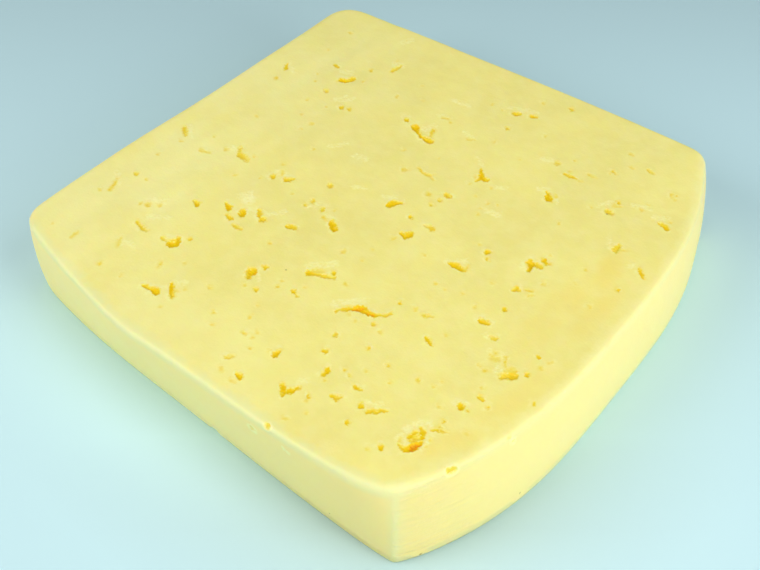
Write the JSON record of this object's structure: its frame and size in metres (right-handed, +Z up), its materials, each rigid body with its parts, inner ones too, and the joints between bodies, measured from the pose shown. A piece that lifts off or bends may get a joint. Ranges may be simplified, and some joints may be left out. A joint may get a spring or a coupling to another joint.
{
  "type": "display copy of a tilsit cheese slab",
  "caption": "Square slab of pale yellow tilsit cheese, a display copy, with small irregular eyes over its flat top, one strongly bowed side and softly rounded corners.",
  "frame": {"origin": "middle of the slab's footprint, on the surface that it stands on", "axes": "+Z up through the thickness; -Y out of the nearly straight left front side, +X out of the strongly bowed right front side, so the sharp front corner is at +X and -Y"},
  "size_m": [0.2297, 0.2295, 0.0383],
  "materials": {
    "paste": "satin, with a slightly waxy sheen and warmer amber inside the eyes"
  },
  "bodies": {
    "root": {"cheese": "paste"}
  },
  "joints": []
}
